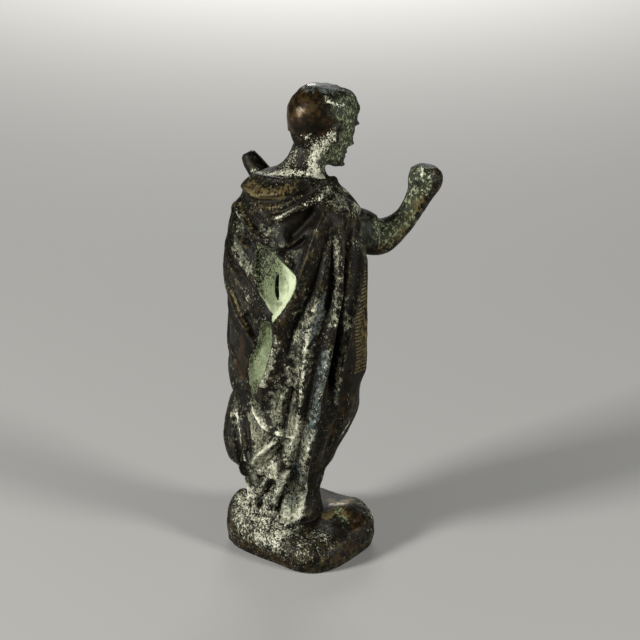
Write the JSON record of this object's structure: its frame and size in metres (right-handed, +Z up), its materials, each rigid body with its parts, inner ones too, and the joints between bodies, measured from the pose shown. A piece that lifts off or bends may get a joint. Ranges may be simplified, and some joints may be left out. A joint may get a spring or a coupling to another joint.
{
  "type": "statuette",
  "caption": "Small dark patinated bronze statuette of a draped Roman ruler with a raised right arm, standing on a rocky base.",
  "frame": {"origin": "middle of the flat underside of the base", "axes": "+Z up; the figure faces -Y, so its right hand is towards -X"},
  "size_m": [0.0446, 0.0368, 0.11],
  "materials": {
    "bronze": "dark green and brown patina with pale crust"
  },
  "bodies": {
    "root": {"statuette": "bronze"}
  },
  "joints": []
}
